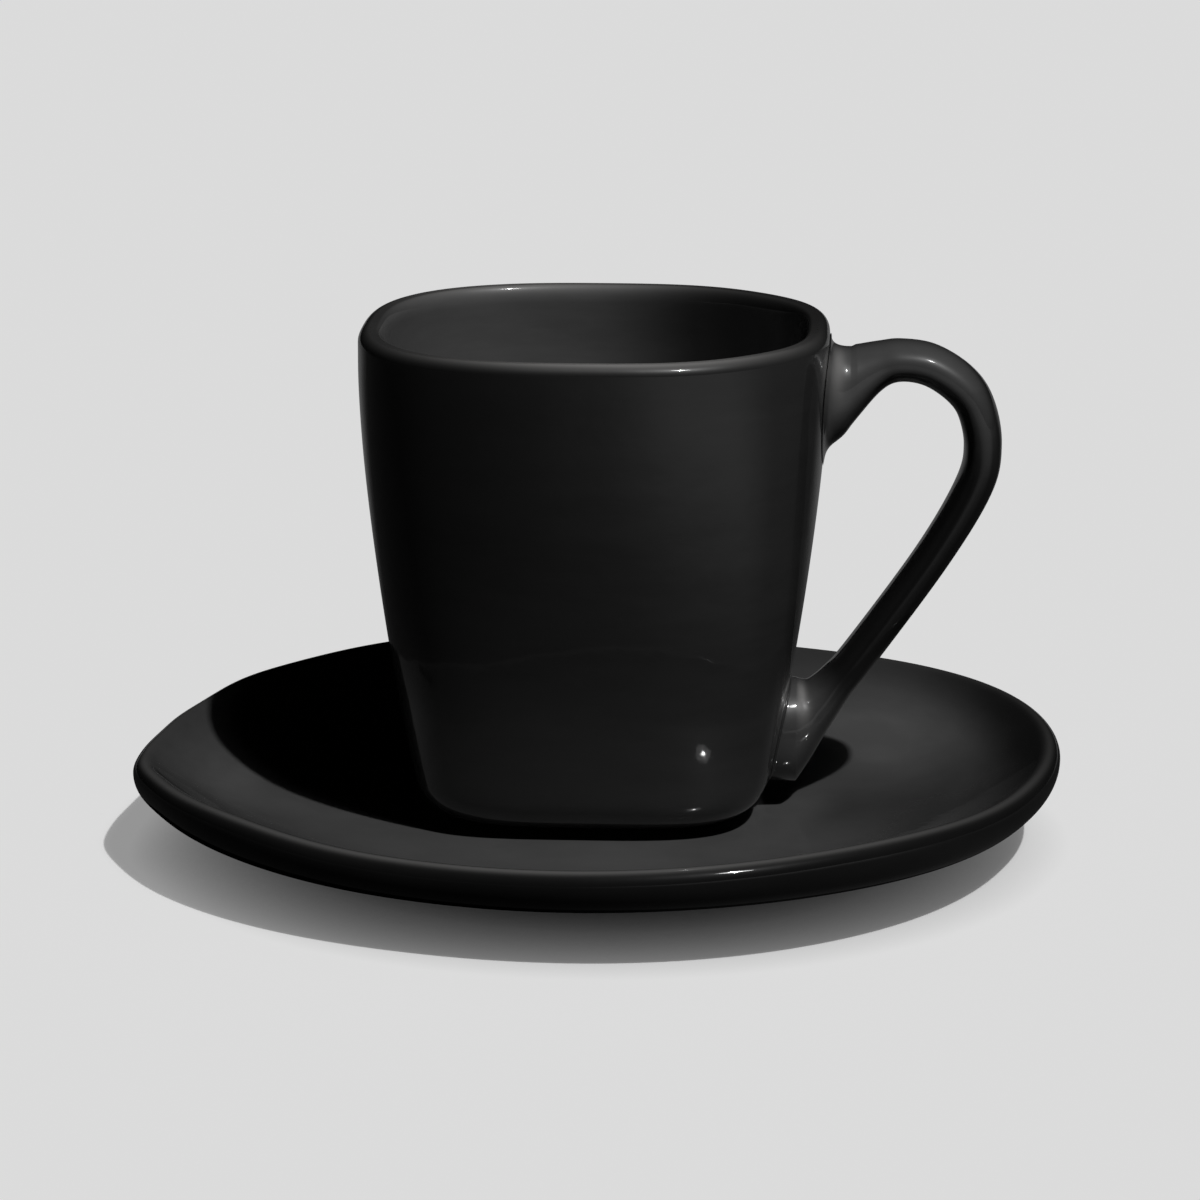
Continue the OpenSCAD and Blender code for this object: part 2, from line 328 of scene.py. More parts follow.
LIP_X = SAUCER_HALF - SAUCER_LIP
LIP_Z = SAUCER_HEIGHT - SAUCER_LIP
RISE_X = LIP_X - SAUCER_LIP * math.sin(LIP_SLOPE)
RISE_Z = LIP_Z + SAUCER_LIP * math.cos(LIP_SLOPE)
RISE_RUN = RISE_X - SEAT_HALF
RISE_CURVE = math.tan(LIP_SLOPE) * RISE_RUN / (RISE_Z - SEAT_HEIGHT)
FLANK_X = SAUCER_FOOT + SAUCER_FOOT_HEIGHT * FOOT_FLANK
BELLY_X = SAUCER_HALF - BELLY_ROUND * (1 - math.sin(BELLY_SLOPE))
BELLY_Z = LIP_Z - BELLY_ROUND * math.cos(BELLY_SLOPE)
BELLY_RUN = BELLY_X - FLANK_X
BELLY_CURVE = math.tan(BELLY_SLOPE) * BELLY_RUN / (BELLY_Z - SAUCER_FOOT_HEIGHT)
OUTER_LIP_START = math.radians(3)


def inside_height(x):
    """Height of the saucer's inside at a half width, from the seat to the lip's crest."""
    share = max(0.0, (x - SEAT_HALF) / RISE_RUN)
    return SEAT_HEIGHT + (RISE_Z - SEAT_HEIGHT) * math.pow(share, RISE_CURVE)


def underside_height(x):
    """Height of the saucer's underside at a half width, from the foot ring to the belly."""
    share = max(0.0, (x - FLANK_X) / BELLY_RUN)
    rise = (BELLY_Z - SAUCER_FOOT_HEIGHT) * math.pow(share, BELLY_CURVE)
    return SAUCER_FOOT_HEIGHT + rise


def saucer_profile():
    """Profile of the saucer from under its middle, out to the lip and in to the seat."""
    ring_in = SAUCER_FOOT - SAUCER_FOOT_RING
    flank_end = FLANK_X + SAUCER_FLANK_RUN
    under = filleted(
        [
            (0, SAUCER_RECESS, 0),
            (ring_in - SAUCER_RECESS * FOOT_FLANK, SAUCER_RECESS, SAUCER_RECESS_FILLET),
            (ring_in, 0, SAUCER_FOOT_FILLET),
            (SAUCER_FOOT, 0, SAUCER_FOOT_FILLET),
            (FLANK_X, SAUCER_FOOT_HEIGHT, SAUCER_FLANK_FILLET),
            (flank_end, underside_height(flank_end), 0),
        ]
    )
    belly_x = SAUCER_HALF - BELLY_ROUND
    return (
        line((0, SAUCER_RECESS), under[1], steps=8)
        + under[1:]
        + [(x, underside_height(x)) for x in spread(flank_end, BELLY_X, steps=24)]
        + arc(belly_x, LIP_Z, BELLY_ROUND, BELLY_SLOPE - HALF_PI, 0, steps=16)
        + arc(LIP_X, LIP_Z, SAUCER_LIP, OUTER_LIP_START, HALF_PI + LIP_SLOPE, steps=18)
        + [(x, inside_height(x)) for x in spread(RISE_X, SEAT_HALF, steps=90)]
        + [(SEAT_HALF, SEAT_HEIGHT)]
        + line((SEAT_HALF, SEAT_HEIGHT), (0, SEAT_HEIGHT), steps=16)
    )


def add_mesh(name, points, faces, body, node, values=None):
    """Makes a smooth-shaded piece from points in millimetres, riding on a body in place of a CAD node."""
    mesh = bpy.data.meshes.new(name)
    mesh.from_pydata([[c * MM for c in p] for p in points], [], faces)
    mesh.validate()
    mesh.shade_smooth()
    for key, numbers in (values or {}).items():
        layer = mesh.attributes.new(key, "FLOAT", "POINT")
        layer.data.foreach_set("value", numbers)
    piece = bpy.data.objects.new(name, mesh)
    bpy.context.collection.objects.link(piece)
    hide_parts(node)
    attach(piece, body)
    return piece


def turned(rings, first_pole, last_pole):
    """Points and faces of a closed form through rings of equal length, each end closed at a pole."""
    count = len(rings[0])
    points = [p for ring in rings for p in ring]
    faces = []
    for i in range(len(rings) - 1):
        a, b = i * count, (i + 1) * count
        for j in range(count):
            k = (j + 1) % count
            faces.append((a + j, a + k, b + k, b + j))
    start, end = len(points), len(points) + 1
    points += [first_pole, last_pole]
    top = (len(rings) - 1) * count
    for j in range(count):
        k = (j + 1) % count
        faces.append((start, k, j))
        faces.append((end, top + j, top + k))
    return points, faces


def lift_share(x):
    """Share of the corner lift that the saucer has at a half width."""
    return max(0.0, (x - SEAT_HALF) / (SAUCER_HALF - SEAT_HALF)) ** 2


def crease(x, turn):
    """Depth share of the short crease inside one corner of the saucer's lip."""
    along = (turn - CREASE_START) / CREASE_TURN
    across = hump(x, CREASE_X - CREASE_RUN * along, CREASE_WIDTH)
    return across * smooth(along, 0, 0.15) * (1 - smooth(along, 0.7, 1))


def saucer_lining_light_and_shade(x, turn):
    """Share of the lighter lining glaze inside the saucer, less towards the lip, with painted light and
    shade by the direction round it.
    """
    share = 0.8 * (1 - 0.6 * smooth(x, 52, 78))
    # Painted light: more of it at the back right and at the left
    share *= 1 + 0.75 * near(turn, 55, 17) * smooth(x, 46, 58)
    share *= 1 + 0.55 * near(turn, 206, 26) * smooth(x, 56, 66)
    # Painted shade: less on the handle's side, on the lower part of the slope
    shaded_slope = smooth(x, 36, 44) * (1 - 0.7 * smooth(x, 58, 66))
    share *= 1 - 0.44 * near(turn, 10, 24) * shaded_slope
    # Painted shade: hardly any near the lip on the handle's side
    start = 65 + 0.12 * off_turn(turn, 25)
    return share * (1 - 0.88 * smooth(x, start, start + 9) * near(turn, 36, 38))


def saucer_lip_turn(x, z, outer):
    """Direction round the saucer's lip in degrees: 90 on the crest, 180 inside, -90 outside."""
    if outer:
        return -90
    return turn_round(x, z, LIP_X, LIP_Z) if x > RISE_X else 180


def make_saucer():
    """Saucer: its profile swept round a soft square, with the marks of the hand, and with painted light,
    shade and highlights in its attributes.
    """
    profile = saucer_profile()
    rim = max(range(len(profile)), key=lambda i: profile[i][0])
    to_frame = Matrix.Rotation(SAUCER_TURN, 3, "Z")
    rings, thin, bare, inside = [], [], [], []
    for i, (x, z) in enumerate(profile):
        outer = i <= rim
        lip = saucer_lip_turn(x, z, outer)
        ring = []
        for j in range(SAUCER_AROUND):
            angle = 2 * math.pi * j / SAUCER_AROUND
            turn = math.degrees(angle)
            reach = x * soft_reach(SAUCER_SQUARE, angle)
            reach += marks(turn, SAUCER_BULGES) * smooth(x, 50, 78)
            rise = CORNER_LIFT * lift_share(x) * (1 - math.cos(4 * angle)) / 2
            rise += marks(turn, SAUCER_LIP_RISES) * smooth(z, 11, 16) * smooth(x, 55, 75)
            p = (reach * math.cos(angle), reach * math.sin(angle), z + rise)
            uneven = unevenness(p, SAUCER_UNEVEN_LENGTH, SAUCER_UNEVEN_SEED)
            shrink = 1 - SAUCER_UNEVEN * uneven * min(1, x / 60)
            dent = 0.0 if outer else crease(x, turn)
            place = Vector((p[0] * shrink, p[1] * shrink, p[2] - CREASE_DEPTH * dent))
            ring.append(tuple(to_frame @ place))
            # Thin glaze on the lip's crest, with painted highlights by direction round it
            worn = SAUCER_LEAST_THIN_GLAZE + marks(turn, SAUCER_LIP_PAINTED_HIGHLIGHT)
            thin.append(worn * hump(lip, SAUCER_THIN_AND_HIGHLIGHT_TURN, SAUCER_THIN_AND_HIGHLIGHT_REACH))
            # Lining with its painted light and shade, less where the crease has painted shade
            lining = smooth(lip, 46, 80) * saucer_lining_light_and_shade(x, turn)
            inside.append(lining * (1 - CREASE_PAINTED_SHADE * dent))
        rings.append(ring)
        bare += [1.0 if z < SAUCER_BARE_BELOW else 0.0] * SAUCER_AROUND
    points, faces = turned(rings, (0, 0, SAUCER_RECESS), (0, 0, SEAT_HEIGHT))
    values = {"thin_glaze_and_highlight": thin + [0, 0], "bare_clay": bare + [0, 0], "inside": inside + [0, 1]}
    return add_mesh("saucer_glazed", points, faces, "saucer", "saucer", values)


def cup_lip_turn(x, z, inner):
    """Direction round the cup's lip in degrees: 0 on the outer wall, 90 on the crest, 180 inside."""
    if inner:
        across = min(0.0, (x - CUP_LIP_INNER_X) / LIP_IN)
        up_lip = (z - CUP_LIP_INNER_Z) / LIP_DEPTH
        return turn_round(across, up_lip, 0, 0) if z > CUP_LIP_INNER_Z else 180
    return turn_round(x, z, CUP_LIP_X, CUP_LIP_OUTER_Z) if z > CUP_LIP_OUTER_Z else 0


def worn_corner(turn):
    """Share by which the cup's wall stands in at its two worn corners, at the rim."""
    return sum(size * hump(turn, middle, reach) for middle, reach, size in CUP_WORN_CORNERS)


def inner_painted_shade(turn):
    """Share of painted shade inside the cup, as a darker glaze, on the handle's side."""
    return 1 - smooth(off_turn(turn, 20), 26, 80)


def wall_painted_shade(turn, z):
    """Share of painted shade on the cup's outside, as a darker glaze: away from the handle, more towards
    the top.
    """
    return 0.85 * (1 - smooth(off_turn(turn, 200), 38, 100)) * (0.5 + 0.5 * z / CUP_HEIGHT)


def make_cup():
    """Cup: rings of soft squares along its profile, with the marks of the hand, and with painted shade and
    highlights in its attributes.
    """
    inner_shade_cover = 0.9
    profile = cup_profile()
    crest = max(range(len(profile)), key=lambda i: profile[i][1])
    rings, thin, bare, inside, painted_shade = [], [], [], [], []
    for i, (x, z) in enumerate(profile):
        lip = cup_lip_turn(x, z, i > crest)
        lined = smooth(lip, 60, 140)
        walled = 1 - smooth(lip, 20, 80)
        ring = []
        for j in range(CUP_AROUND):
            angle = 2 * math.pi * j / CUP_AROUND
            turn = math.degrees(angle)
            reach = x * soft_reach(square_at(z), angle)
            p = (reach * math.cos(angle), reach * math.sin(angle), z)
            uneven = unevenness(p, CUP_UNEVEN_LENGTH, CUP_UNEVEN_SEED)
            shrink = 1 - CUP_UNEVEN * uneven * min(1, x / 30) * min(1, z / 8)
            shrink -= worn_corner(turn) * min(1, max(0, (z - 40) / 40))
            ring.append((p[0] * shrink - CUP_OFFSET, p[1] * shrink, z + SEAT_HEIGHT))
            # Thin glaze on the lip's crest, with painted highlights by direction round it
            worn = CUP_LEAST_THIN_GLAZE + marks(turn, CUP_RIM_PAINTED_HIGHLIGHTS)
            thin.append(worn * hump(lip, CUP_THIN_AND_HIGHLIGHT_TURN, CUP_THIN_AND_HIGHLIGHT_REACH))
            # Painted shade inside on the handle's side, and on the outside away from the handle
            painted_shade_share = inner_shade_cover * inner_painted_shade(turn)
            inside.append(lined * (1 - painted_shade_share))
            painted_shade.append(lined * painted_shade_share + walled * wall_painted_shade(turn, z))
        rings.append(ring)
        bare += [1.0 if z < CUP_BARE_BELOW else 0.0] * CUP_AROUND
    low, high = SEAT_HEIGHT + CUP_RECESS, SEAT_HEIGHT + CUP_FLOOR
    points, faces = turned(rings, (-CUP_OFFSET, 0, low), (-CUP_OFFSET, 0, high))
    values = {"thin_glaze_and_highlight": thin + [0, 0], "bare_clay": bare + [0, 0], "inside": inside + [0, 1]}
    values["painted_shade_share"] = painted_shade + [0, 0]
    return add_mesh("cup_glazed", points, faces, "cup", "cup_body", values)


STRAP_REACH = BEND_X - CUP_HALF
STRAP_RISE = ARCH_TOP - LOWER_ROOT
LOWER_WALL = outside_half(LOWER_ROOT)


def out(share):
    """Distance from the axis at a share of the strap's reach."""
    return CUP_HALF + STRAP_REACH * share


def up(share):
    """Height at a share of the strap's rise."""
    return LOWER_ROOT + STRAP_RISE * share


def to_arch(share):
    """Height at a share of the way from the upper root to the top of the arch."""
    return UPPER_ROOT * (1 - share) + ARCH_TOP * share


def root_out(share):
    """Distance from the axis at some lengths of the lower root's end."""
    return LOWER_WALL + ROOT_END * share


def root_up(share):
    """Height at a share of the lower root's height above its middle."""
    return LOWER_ROOT + LOWER_ROOT_HEIGHT * share


# Stations of the strap: distance from the axis, height, direction of its outer face, thickness, width.
# The first only guides the curve, because the flare below takes its place.
STATIONS = [
    (out(0.075), UPPER_ROOT + 0.25, 90, UPPER_ROOT_HEIGHT * 0.87, ROOT_WIDTH * 0.91),
    (out(0.17), to_arch(0.38), 92, ARCH_THICKNESS * 1.76, STRAP_WIDTH * 1.15),
    (out(0.32), to_arch(0.83), 94, ARCH_THICKNESS * 1.18, STRAP_WIDTH),
    (out(0.455), ARCH_TOP, 89, ARCH_THICKNESS, STRAP_WIDTH),
    (out(0.65), up(0.988), 75, ARCH_THICKNESS, STRAP_WIDTH),
    (out(0.84), up(0.94), 54, ARCH_THICKNESS, STRAP_WIDTH),
    (out(0.95), up(0.878), 30, BEND_THICKNESS * 1.04, STRAP_WIDTH),
    (out(1), up(0.777), 1, BEND_THICKNESS, STRAP_WIDTH),
    (out(0.945), up(0.666), -20, BEND_THICKNESS, STRAP_WIDTH),
    (out(0.68), up(0.476), -34, RUN_THICKNESS, STRAP_WIDTH),
    (out(0.22), up(0.213), -35, RUN_THICKNESS, STRAP_WIDTH),
    (root_out(3.4), root_up(0.485), -47, RUN_THICKNESS * 1.08, STRAP_WIDTH),
    (root_out(2.28), root_up(0.248), -68, LOWER_ROOT_HEIGHT * 0.523, ROOT_WIDTH * 0.77),
    (root_out(1.62), root_up(0.119), -80, LOWER_ROOT_HEIGHT * 0.744, ROOT_WIDTH * 0.87),
    (root_out(1), root_up(0), -90, LOWER_ROOT_HEIGHT, ROOT_WIDTH * 0.95),
]
LAST_STATION = len(STATIONS) - 1
FIRST_STRAP_STATION = 1

# Upper root, from the strap to the wall: distance off the wall, top, bottom and width
UPPER_FLARE = [
    (3.6, 81.2, 67.6, 15.3),
    (2.65, 81.2, 66.1, 16.2),
    (1.8, 81.3, 65.1, 17.4),
    (1.1, 81.5, 64.4, 18.9),
    (0.58, 81.8, 63.7, 20.6),
    (0.27, 82.2, 63.0, 22.4),
    (0.1, 82.6, 62.2, 24.3),
    (0.02, 82.9, 61.4, 26.2),
    (-0.05, 83.0, 60.8, 27.6),
]
FLARE_REACH = UPPER_FLARE[0][0]

# Places of painted highlights along the strap, counted in stations
COLLAR_PLACE = 0.4
RIDGE_PLACE = LAST_STATION - 1.1


def between(rows, i, t):
    """Row between two rows of a table, on a smooth curve through them."""
    a, b = rows[max(i - 1, 0)], rows[i]
    c, d = rows[i + 1], rows[min(i + 2, len(rows) - 1)]
    return [
        (
            2 * q
            + (r - p) * t
            + (2 * p - 5 * q + 4 * r - s) * t**2
            + (3 * q - p - 3 * r + s) * t**3
        )
        / 2
        for p, q, r, s in zip(a, b, c, d)
    ]


def around_strap(j, thickness, width):
    """Offset of a point around the strap's section, as thickness and width."""
    angle = -2 * math.pi * j / STRAP_AROUND
    reach = soft_reach(STRAP_SQUARE, angle)
    return reach * math.cos(angle) * thickness / 2, reach * math.sin(angle) * width / 2


def strap_ring(row):
    """Ring of the strap at a station."""
    x, h, turn, thickness, width = row
    c, s = math.cos(math.radians(turn)), math.sin(math.radians(turn))
    ring = []
    for j in range(STRAP_AROUND):
        p, q = around_strap(j, thickness, width)
        ring.append((x + p * c - CUP_OFFSET, q, h + p * s + SEAT_HEIGHT))
    return ring


def root_ring(middle, height, width, sign, off):
    """Ring of a root on the cup's outside, held off the wall.

    It starts at the root's top where the sign is 1, and at its bottom where the sign is -1.
    """
    ring = []
    for j in range(STRAP_AROUND):
        p, q = around_strap(j, height, width)
        x, y, h = on_wall(q, middle + sign * p, off)
        ring.append((x - CUP_OFFSET, y, h + SEAT_HEIGHT))
    return ring


def flare_ring(off, top, bottom, width):
    """Ring of the upper root, which follows the wall close to it and flattens towards the strap."""
    flat = smooth(off, 0.2, 3.8)
    plane = CUP_HALF + off - CUP_OFFSET
    ring = root_ring((top + bottom) / 2, top - bottom, width, 1, off)
    return [(x + (plane - x) * flat, y, z) for x, y, z in ring]


def handle_rings():
    """Rings of the handle from the upper root to the lower one, and the place of each along the strap.

    A place counts the stations. It goes from 0 to 1 over the upper root, and past the last station over
    the edge of the lower root.
    """
    rings, places = [], []
    flare = [
        between(UPPER_FLARE, i, k / FLARE_STEPS)
        for i in range(len(UPPER_FLARE) - 1)
        for k in range(FLARE_STEPS)
    ]
    for row in reversed(flare + [UPPER_FLARE[-1]]):
        rings.append(flare_ring(*row))
        places.append(max(0.0, row[0]) / FLARE_REACH)
    for i in range(FIRST_STRAP_STATION, LAST_STATION):
        for k in range(STRAP_STEPS):
            rings.append(strap_ring(between(STATIONS, i, k / STRAP_STEPS)))
            places.append(i + k / STRAP_STEPS)
    rings.append(strap_ring(STATIONS[LAST_STATION]))
    places.append(LAST_STATION)
    for i in range(ROOT_EDGE_STEPS + 1):
        t = i / ROOT_EDGE_STEPS
        grow = 2 * ROOT_EDGE_GROWTH * (1 - math.cos(t * HALF_PI))
        off = ROOT_EDGE_RISE * (1 - math.sin(t * HALF_PI)) - ROOT_EDGE_SINK * t
        rings.append(root_ring(LOWER_ROOT, LOWER_ROOT_HEIGHT + grow, ROOT_WIDTH + grow, -1, off))
        places.append(LAST_STATION + t)
    return rings, places


def strap_painted_highlight(place, turn):
    """Share of painted highlight on the strap, in the thin glaze's grey: on the upper root's collar and the
    lower root's ridge.
    """
    collar = 0.36 * hump(place, COLLAR_PLACE, 0.3) * near(turn, 48, 34)
    ridge = 0.42 * hump(place, RIDGE_PLACE, 0.7) * near(turn, 138, 36)
    return ridge + collar


def strap_painted_light(place, outer):
    """Share of painted light on the strap, as a lighter glaze: over the arch, and again on the lower root.
    """
    share = 0.85 * smooth(place, 0, 0.15) * (1 - smooth(place, 4.5, 8))
    share += 0.4 * smooth(place, 10.4, 11.8)
    return share * (1 - 0.8 * outer * smooth(place, 4.6, 6))


def strap_painted_shade(place, outer):
    """Share of painted shade on the strap, as a darker glaze: from the bend to the lower root, sooner on
    its outer face.
    """
    start = 6.5 - 2.2 * outer
    return smooth(place, start, start + 1.5) * (1 - smooth(place, 10.2, 11.6))


def make_handle():
    """Handle: the strap with its two roots, with painted light, shade and highlights in its attributes."""
    rings, places = handle_rings()
    poles = [
        (outside_half(h, -ROOT_POLE_SINK) - CUP_OFFSET, 0, h + SEAT_HEIGHT)
        for h in (UPPER_ROOT, LOWER_ROOT)
    ]
    points, faces = turned(rings, poles[0], poles[1])
    # Painted highlights, painted light and painted shade along the strap
    thin, light, painted_shade = [], [], []
    for place in places:
        for j in range(STRAP_AROUND):
            turn = 360 * j / STRAP_AROUND
            outer = near(turn, 0, 48)
            thin.append(strap_painted_highlight(place, turn))
            light.append(strap_painted_light(place, outer))
            painted_shade.append(strap_painted_shade(place, outer))
    # On the handle, the lining share holds the painted light
    values = {"thin_glaze_and_highlight": thin + [0, 0], "inside": light + [0, 0], "painted_shade_share": painted_shade + [0, 0]}
    return add_mesh("handle_glazed", points, faces, "cup", "handle", values)


def make_bead(name, node, middle, height, rise):
    """Bead of slip squeezed out round a root: a closed ring of oval section, half sunk in the wall."""
    mid_height, mid_width = height + BEAD_GROWTH, ROOT_WIDTH + BEAD_GROWTH
    inner = root_ring(middle, height, ROOT_WIDTH, 1, 0)
    outer = root_ring(middle, height + 2 * BEAD_GROWTH, ROOT_WIDTH + 2 * BEAD_GROWTH, 1, 0)
    seated = root_ring(middle, mid_height, mid_width, 1, 0)
    lifted = root_ring(middle, mid_height, mid_width, 1, 1.0)
    points, faces = [], []
    for j in range(STRAP_AROUND):
        across = (Vector(outer[j]) - Vector(inner[j])) / 2
        outward = (Vector(lifted[j]) - Vector(seated[j])).normalized() * rise
        for k in range(BEAD_SIDES):
            a = 2 * math.pi * k / BEAD_SIDES
            points.append(tuple(Vector(seated[j]) + across * math.cos(a) + outward * math.sin(a)))
    for j in range(STRAP_AROUND):
        a, b = j * BEAD_SIDES, (j + 1) % STRAP_AROUND * BEAD_SIDES
        for k in range(BEAD_SIDES):
            n = (k + 1) % BEAD_SIDES
            faces.append((a + k, b + k, b + n, a + n))
    return add_mesh(name, points, faces, "cup", node)


# Places of the colour sockets on a Mix node
MIX_SHARE = 0
MIX_FIRST = 6
MIX_SECOND = 7
MIX_RESULT = 2


class Graph:
    """A new material, with short names for building its shader graph."""

    def __init__(self, name):
        self.material = bpy.data.materials.new(name)
        self.material.use_nodes = True
        self.tree = self.material.node_tree
        self.tree.nodes.clear()

    def put(self, value, socket):
        """Sets an input to a plain value, or links it to a node's output."""
        if isinstance(value, bpy.types.NodeSocket):
            self.tree.links.new(value, socket)
        else:
            socket.default_value = value

    def add(self, kind, settings=None, **inputs):
        """Adds a node. Its inputs go by their names, with underscores for spaces."""
        node = self.tree.nodes.new("ShaderNode" + kind)
        for key, value in (settings or {}).items():
            setattr(node, key, value)
        for key, value in inputs.items():
            self.put(value, node.inputs[key.replace("_", " ")])
        return node

    def noise(self, where, scale, detail, roughness=0.5):
        """Noise between 0 and 1, with its scale per metre."""
        node = self.add("TexNoise", Vector=where, Scale=scale, Detail=detail, Roughness=roughness)
        return node.outputs["Fac"]

    def span(self, value, low, high, start=0.0, end=1.0, kind="LINEAR"):
        """Goes from low to high while a value goes from start to end."""
        node = self.add("MapRange", {"interpolation_type": kind}, Value=value)
        limits = {"From Min": start, "From Max": end, "To Min": low, "To Max": high}
        for key, limit in limits.items():
            node.inputs[key].default_value = limit
        return node.outputs["Result"]

    def ease(self, value, low, high, start, end):
        """Goes from low to high as span does, with soft ends."""
        return self.span(value, low, high, start, end, "SMOOTHSTEP")

    def combine(self, operation, a, b):
        """Result of a Math node on two values."""
        node = self.add("Math", {"operation": operation})
        self.put(a, node.inputs[0])
        self.put(b, node.inputs[1])
        return node.outputs["Value"]

    def facing(self, vector, direction):
        """Dot product of a vector with a fixed direction."""
        node = self.add("VectorMath", {"operation": "DOT_PRODUCT"}, Vector=vector)
        node.inputs[1].default_value = direction
        return node.outputs["Value"]

    def mix(self, share, a, b):
        """Colour between two others."""
        node = self.add("Mix", {"data_type": "RGBA"})
        for value, place in ((share, MIX_SHARE), (a, MIX_FIRST), (b, MIX_SECOND)):
            self.put(value, node.inputs[place])
        return node.outputs[MIX_RESULT]

    def bump(self, height, strength, depth, **below):
        """Normal of a relief with a depth in millimetres, on top of the normal given as Normal."""
        node = self.add("Bump", Strength=strength, Distance=depth * MM, Height=height, **below)
        return node.outputs["Normal"]

    def value(self, name):
        """Value of the mesh's attribute of a name, or 0 where it has none."""
        return self.add("Attribute", {"attribute_name": name}).outputs["Fac"]

    def finish(self, shader):
        """Shows a shader on the surface and gives the material."""
        self.add("OutputMaterial", Surface=shader)
        return self.material


def grey(level, warmth=0.0):
    """Grey of a linear level, with more red and less blue where it is warm."""
    return (level * (1 + warmth), level, level * (1 - warmth), 1.0)


# Glaze and clay: scales of their noise per metre
CLOUD_SCALE = 55
STREAK_SCALE = 40
STREAK_STRETCH = (1.0, 1.0, 5.0)
RIPPLE_SCALE = 260
PIT_SCALE = 420
FINE_SCALE = 900
GRAIN_SCALE = 1600

# Glaze and clay: colours, gloss and roughness
WALL_SWING = 0.12
LINING_SWING = 0.1
# Grey of thin glaze and painted highlights, and brightness of painted shade against the wall's glaze
THIN_GLAZE_AND_HIGHLIGHT_GREY = grey(0.4, 0.02)
THIN_COVER = 0.9
PAINTED_SHADE_BRIGHTNESS = 0.35
DARK_CLAY = grey(0.16, 0.12)
PALE_CLAY = grey(0.3, 0.14)
HAZE_ROUGHNESS = 0.42
HAZE_SWING = 0.05
CLAY_ROUGHNESS = 0.9
COAT_WEIGHT = 1.0
COAT_ROUGHNESS = 0.05


def glaze(name, outside, inside, haze):
    """Black gloss glaze over stoneware: lighter on the lips as thin glaze and painted highlights, with
    painted light and shade from the mesh's shares, fine ripples and a bare foot.
    """
    g = Graph(name)
    where = g.add("TexCoord").outputs["Object"]
    level = g.add("Mapping", Vector=where, Scale=STREAK_STRETCH).outputs["Vector"]
    uneven = g.noise(level, STREAK_SCALE, detail=4, roughness=0.6)
    streaks = g.span(uneven, low=0, high=1, start=0.35, end=0.65)
    bare = g.value("bare_clay")
    wall = g.mix(streaks, grey(outside * (1 - WALL_SWING)), grey(outside * (1 + WALL_SWING)))
    lining = g.mix(streaks, grey(inside * (1 - LINING_SWING)), grey(inside * (1 + LINING_SWING)))
    # Lighter lining glaze, which also holds painted light and shade on the saucer and painted light on the
    # handle
    colour = g.mix(g.value("inside"), wall, lining)
    # Painted shade, as a darker copy of the wall's glaze
    colour = g.mix(g.value("painted_shade_share"), colour, grey(outside * PAINTED_SHADE_BRIGHTNESS))
    # Thin glaze and painted highlights, as a lighter grey
    colour = g.mix(g.combine("MULTIPLY", g.value("thin_glaze_and_highlight"), THIN_COVER), colour, THIN_GLAZE_AND_HIGHLIGHT_GREY)
    clay = g.mix(g.noise(where, GRAIN_SCALE, detail=4), DARK_CLAY, PALE_CLAY)
    colour = g.mix(bare, colour, clay)
    cloud = g.noise(where, CLOUD_SCALE, detail=3)
    hazy = g.span(cloud, HAZE_ROUGHNESS - HAZE_SWING, HAZE_ROUGHNESS + HAZE_SWING)
    matt = g.combine("MULTIPLY", bare, CLAY_ROUGHNESS - HAZE_ROUGHNESS)
    pits = g.add("TexVoronoi", {"feature": "F1"}, Vector=where, Scale=PIT_SCALE)
    dents = g.span(pits.outputs["Distance"], low=0, high=1, start=0.0, end=0.1)
    ripple = g.noise(where, RIPPLE_SCALE, detail=1)
    fine = g.noise(where, FINE_SCALE, detail=2)
    normal = g.bump(ripple, strength=0.4, depth=0.08)
    normal = g.bump(fine, strength=0.25, depth=0.02, Normal=normal)
    normal = g.bump(dents, strength=0.3, depth=0.03, Normal=normal)
    gloss = g.add(
        "BsdfPrincipled",
        Base_Color=colour,
        Roughness=g.combine("ADD", hazy, matt),
        Specular_IOR_Level=haze,
        Coat_Weight=g.span(bare, COAT_WEIGHT, 0.0),
        Coat_Roughness=COAT_ROUGHNESS,
        Normal=normal,
        Coat_Normal=normal,
    )
    return g.finish(gloss.outputs["BSDF"])


saucer = make_saucer()
cup = make_cup()
handle = make_handle()
upper_bead = make_bead(
    "upper_slip_bead", "upper_slip_seam", UPPER_ROOT, UPPER_ROOT_HEIGHT, UPPER_BEAD_RISE
)
lower_bead = make_bead(
    "lower_slip_bead", "lower_slip_seam", LOWER_ROOT, LOWER_ROOT_HEIGHT, LOWER_BEAD_RISE
)

# The outsides are far darker than the linings: painted shade on the outer walls of the cup and saucer
cup_glaze = glaze("cup_glaze", outside=0.023, inside=0.085, haze=0.28)
saucer_glaze = glaze("saucer_glaze", outside=0.009, inside=0.104, haze=0.06)
saucer.data.materials.append(saucer_glaze)
for piece in (cup, handle, upper_bead, lower_bead):
    piece.data.materials.append(cup_glaze)

# Floor, with lengths in metres
FLOOR_HALF = 6.0
FLOOR_WHITE = grey(0.655)
FLOOR_UNSEEN = grey(0.02)
FLOOR_GLOW = 0.3
CONTACT_SHADE_REACH = 0.011
FRONT_RIGHT = (0.866, -0.5, 0.0)
FRONT = (0.0, -1.0, 0.0)


